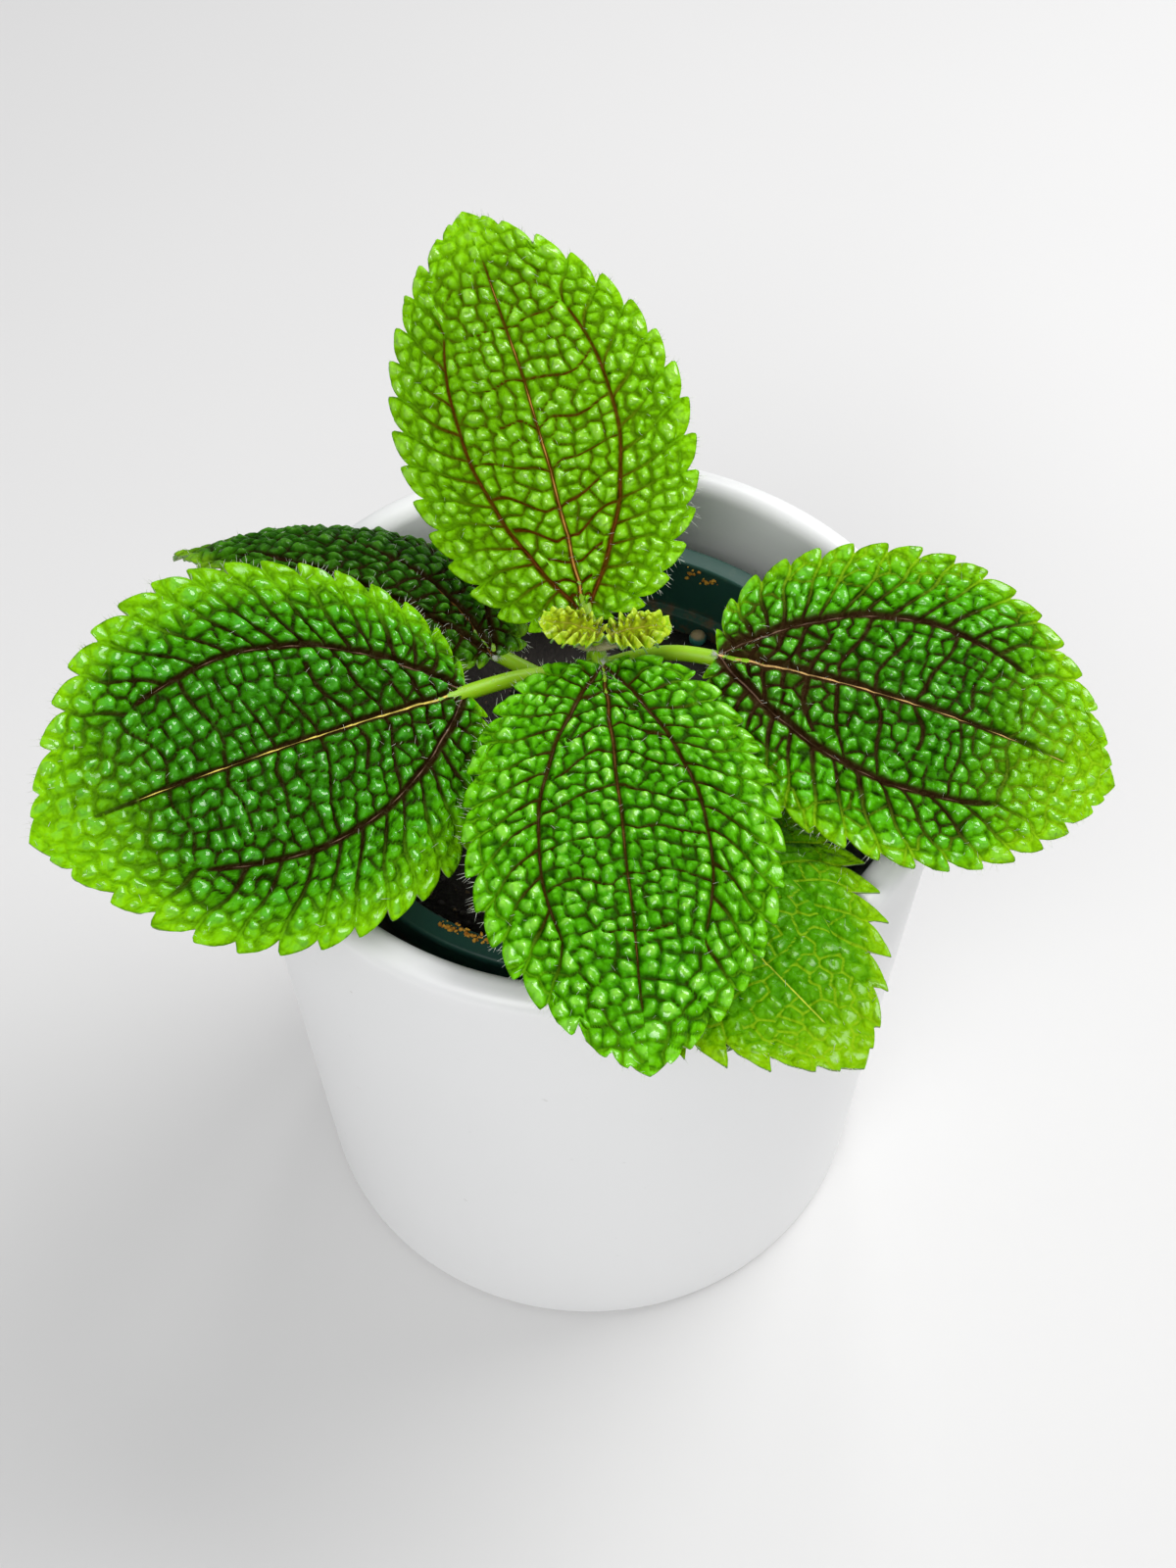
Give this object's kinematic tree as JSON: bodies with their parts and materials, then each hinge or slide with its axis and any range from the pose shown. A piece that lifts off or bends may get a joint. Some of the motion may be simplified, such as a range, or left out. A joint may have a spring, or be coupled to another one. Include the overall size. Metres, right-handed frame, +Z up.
{
  "type": "friendship plant in a pot",
  "caption": "Potted friendship plant with quilted, toothed oval leaves in opposite pairs, in a grower's pot inside a white ceramic pot.",
  "frame": {"origin": "centre of the outer pot's flat bottom face, on the surface that it stands on", "axes": "+Z up along the pots' axis, -Y towards the front of the plant, +X to its right"},
  "size_m": [0.1787, 0.1554, 0.1936],
  "materials": {
    "outer_pot": "satin",
    "grower_pot": "satin",
    "soil": "matte",
    "stem": "satin",
    "pellet": "satin",
    "leaf": "satin",
    "young_leaf": "satin"
  },
  "bodies": {
    "root": {"cachepot": "outer_pot", "nursery_pot": "grower_pot", "soil": "soil", "stem": "stem", "fertiliser_prill": "pellet", "leaf_upper_back": "leaf", "leaf_upper_front": "leaf", "leaf_middle_left": "leaf", "leaf_middle_right": "leaf", "leaf_lower_back_left": "leaf", "leaf_lower_front_right": "leaf", "young_leaf_left": "young_leaf", "young_leaf_right": "young_leaf"}
  },
  "joints": []
}
